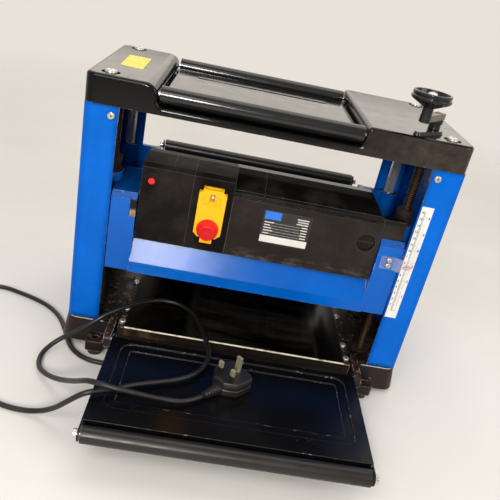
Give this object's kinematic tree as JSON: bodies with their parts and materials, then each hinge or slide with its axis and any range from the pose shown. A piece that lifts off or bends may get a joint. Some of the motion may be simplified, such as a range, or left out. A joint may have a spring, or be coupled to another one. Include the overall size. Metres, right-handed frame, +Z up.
{
  "type": "planer thicknesser",
  "caption": "Bench planer thicknesser: crank-lifted motor and cutter carriage on posts between sheet-steel sides, over a flat bed with folding roller tables.",
  "frame": {"origin": "on the floor, at the centre of the four bench-bolt holes", "axes": "+X to the operator's right, +Y away from the operator along the feed, +Z up"},
  "size_m": [0.6998, 0.6484, 0.4655],
  "materials": {
    "base_black": "satin black paint over a casting",
    "carriage_blue": "gloss blue paint over a casting",
    "panel_blue": "gloss blue paint",
    "cover_black": "gloss black paint over a casting",
    "table_black": "gloss black paint",
    "shell_black": "matte moulded plastic",
    "roller_black": "gloss",
    "bed_steel": "polished sheet",
    "post_chrome": "chrome plate",
    "bright_steel": "zinc plate",
    "screw_steel": "oiled thread",
    "dark_steel": "oiled",
    "bronze": "plain bearing",
    "pin_brass": "polished",
    "rubber_black": "matte",
    "plug_black": "satin",
    "switch_yellow": "gloss",
    "switch_red": "gloss",
    "switch_green": "gloss",
    "pointer_clear": "clear plastic"
  },
  "bodies": {
    "base_frame": {"base_casting": "base_black", "rubber_feet": "rubber_black", "bed_plate": "bed_steel", "side_panel_left": "panel_blue", "side_panel_right": "panel_blue", "pan_screws": "bright_steel", "top_cover": "cover_black", "cover_bolts": "bright_steel", "guide_posts": "post_chrome", "screw_bushes": "bronze", "lift_chain": "dark_steel", "crank_flange": "roller_black", "hinge_pins": "bright_steel", "return_axles": "bright_steel", "cord_gland": "rubber_black", "mains_cord": "rubber_black"},
    "lead_screw_right": {"lead_screw_right": "screw_steel", "crank_sleeve": "roller_black", "crank_arm": "bright_steel", "knob_spindle": "bright_steel"},
    "crank_knob": {"crank_knob": "plug_black"},
    "lead_screw_left": {"lead_screw_left": "screw_steel"},
    "carriage": {"carriage_casting": "carriage_blue", "post_bushes": "bronze", "lift_nuts": "bronze", "depth_pointer": "pointer_clear", "motor_cover": "shell_black", "switch_box": "shell_black", "brush_cap": "shell_black", "switch_base": "switch_yellow", "motor_housing": "dark_steel", "drive_belt": "rubber_black", "carriage_bearings": "bright_steel", "feed_gearbox": "base_black", "feed_chain": "dark_steel", "pawl_shaft": "bright_steel", "chip_hood": "base_black"},
    "cutter_head": {"cutter_head": "dark_steel", "cutter_knives": "bright_steel"},
    "motor_armature": {"motor_armature": "dark_steel"},
    "infeed_roller": {"infeed_roller": "dark_steel"},
    "outfeed_roller": {"outfeed_roller": "dark_steel"},
    "feed_drive": {"feed_drive": "dark_steel"},
    "kickback_pawls": {"kickback_pawls": "bright_steel"},
    "switch_flap": {"switch_flap": "switch_yellow", "stop_mushroom": "switch_red"},
    "start_button": {"start_button": "switch_green"},
    "stop_button": {"stop_button": "switch_red"},
    "reset_button": {"reset_button": "switch_red"},
    "front_table": {"front_table": "table_black", "front_table_axle": "bright_steel", "mains_plug": "plug_black", "plug_pins": "pin_brass"},
    "front_table_roller": {"front_table_roller": "roller_black"},
    "rear_table": {"rear_table": "table_black", "rear_table_axle": "bright_steel"},
    "rear_table_roller": {"rear_table_roller": "roller_black"},
    "return_roller_front": {"return_roller_front": "roller_black"},
    "return_roller_rear": {"return_roller_rear": "roller_black"}
  },
  "joints": [
    {"name": "crank_turn", "type": "hinge", "parent": "base_frame", "child": "lead_screw_right", "pos_m": [0.206, -0.08, 0.2], "axis": [0, 0, -1], "range_deg": [-13230, 13230], "deforming": ["mains_cord"]},
    {"name": "left_screw_turn", "type": "hinge", "parent": "base_frame", "child": "lead_screw_left", "pos_m": [-0.218, -0.08, 0.2], "axis": [0, 0, -1], "range_deg": [-13230, 13230]},
    {"name": "carriage_lift", "type": "slide", "parent": "base_frame", "child": "carriage", "axis": [0, 0, 1], "range_m": [-0.073, 0.073], "deforming": ["mains_cord"]},
    {"name": "knob_spin", "type": "hinge", "parent": "lead_screw_right", "child": "crank_knob", "pos_m": [0.1803, -0.111, 0.452], "axis": [0, 0, 1], "continuous": true},
    {"name": "cutter_spin", "type": "hinge", "parent": "carriage", "child": "cutter_head", "pos_m": [0, 0, 0.163], "axis": [1, 0, 0], "continuous": true},
    {"name": "motor_spin", "type": "hinge", "parent": "carriage", "child": "motor_armature", "pos_m": [0, -0.064, 0.24], "axis": [1, 0, 0], "continuous": true},
    {"name": "infeed_spin", "type": "hinge", "parent": "carriage", "child": "infeed_roller", "pos_m": [0, -0.058, 0.153], "axis": [1, 0, 0], "continuous": true},
    {"name": "outfeed_spin", "type": "hinge", "parent": "carriage", "child": "outfeed_roller", "pos_m": [0, 0.058, 0.153], "axis": [1, 0, 0], "continuous": true},
    {"name": "feed_drive_spin", "type": "hinge", "parent": "carriage", "child": "feed_drive", "pos_m": [0, 0, 0.192], "axis": [1, 0, 0], "continuous": true},
    {"name": "pawl_swing", "type": "hinge", "parent": "carriage", "child": "kickback_pawls", "pos_m": [0, -0.095, 0.168], "axis": [1, 0, 0], "range_deg": [0, 25]},
    {"name": "switch_flap_swing", "type": "hinge", "parent": "carriage", "child": "switch_flap", "pos_m": [-0.072, -0.1245, 0.2835], "axis": [-1, 0, 0], "range_deg": [0, 100]},
    {"name": "start_press", "type": "slide", "parent": "carriage", "child": "start_button", "axis": [0, 1, 0], "range_m": [0, 0.0025], "stiffness_N_per_m": 400},
    {"name": "stop_press", "type": "slide", "parent": "carriage", "child": "stop_button", "axis": [0, 1, 0], "range_m": [0, 0.0025], "stiffness_N_per_m": 400},
    {"name": "reset_press", "type": "slide", "parent": "carriage", "child": "reset_button", "axis": [0, 1, 0], "range_m": [0, 0.002], "stiffness_N_per_m": 400},
    {"name": "front_table_fold", "type": "hinge", "parent": "base_frame", "child": "front_table", "pos_m": [0, -0.172, 0.05], "axis": [-1, 0, 0], "range_deg": [0, 90], "deforming": ["mains_cord"]},
    {"name": "rear_table_fold", "type": "hinge", "parent": "base_frame", "child": "rear_table", "pos_m": [0, 0.172, 0.05], "axis": [-1, 0, 0], "range_deg": [0, 90]},
    {"name": "front_table_roller_spin", "type": "hinge", "parent": "front_table", "child": "front_table_roller", "pos_m": [0, -0.362, 0.05], "axis": [1, 0, 0], "continuous": true},
    {"name": "rear_table_roller_spin", "type": "hinge", "parent": "rear_table", "child": "rear_table_roller", "pos_m": [0, 0.172, 0.24], "axis": [1, 0, 0], "continuous": true},
    {"name": "return_roller_front_spin", "type": "hinge", "parent": "base_frame", "child": "return_roller_front", "pos_m": [0, -0.112, 0.3953], "axis": [1, 0, 0], "continuous": true},
    {"name": "return_roller_rear_spin", "type": "hinge", "parent": "base_frame", "child": "return_roller_rear", "pos_m": [0, 0.112, 0.3953], "axis": [1, 0, 0], "continuous": true}
  ],
  "couplings": [
    {"joint": "crank_turn", "follows": "carriage_lift", "rad_per_m": 3141.6},
    {"joint": "left_screw_turn", "follows": "carriage_lift", "rad_per_m": 3141.6},
    {"joint": "motor_spin", "follows": "cutter_spin", "ratio": 1.4444},
    {"joint": "infeed_spin", "follows": "cutter_spin", "ratio": -0.05},
    {"joint": "outfeed_spin", "follows": "cutter_spin", "ratio": -0.05},
    {"joint": "feed_drive_spin", "follows": "cutter_spin", "ratio": -0.05}
  ]
}
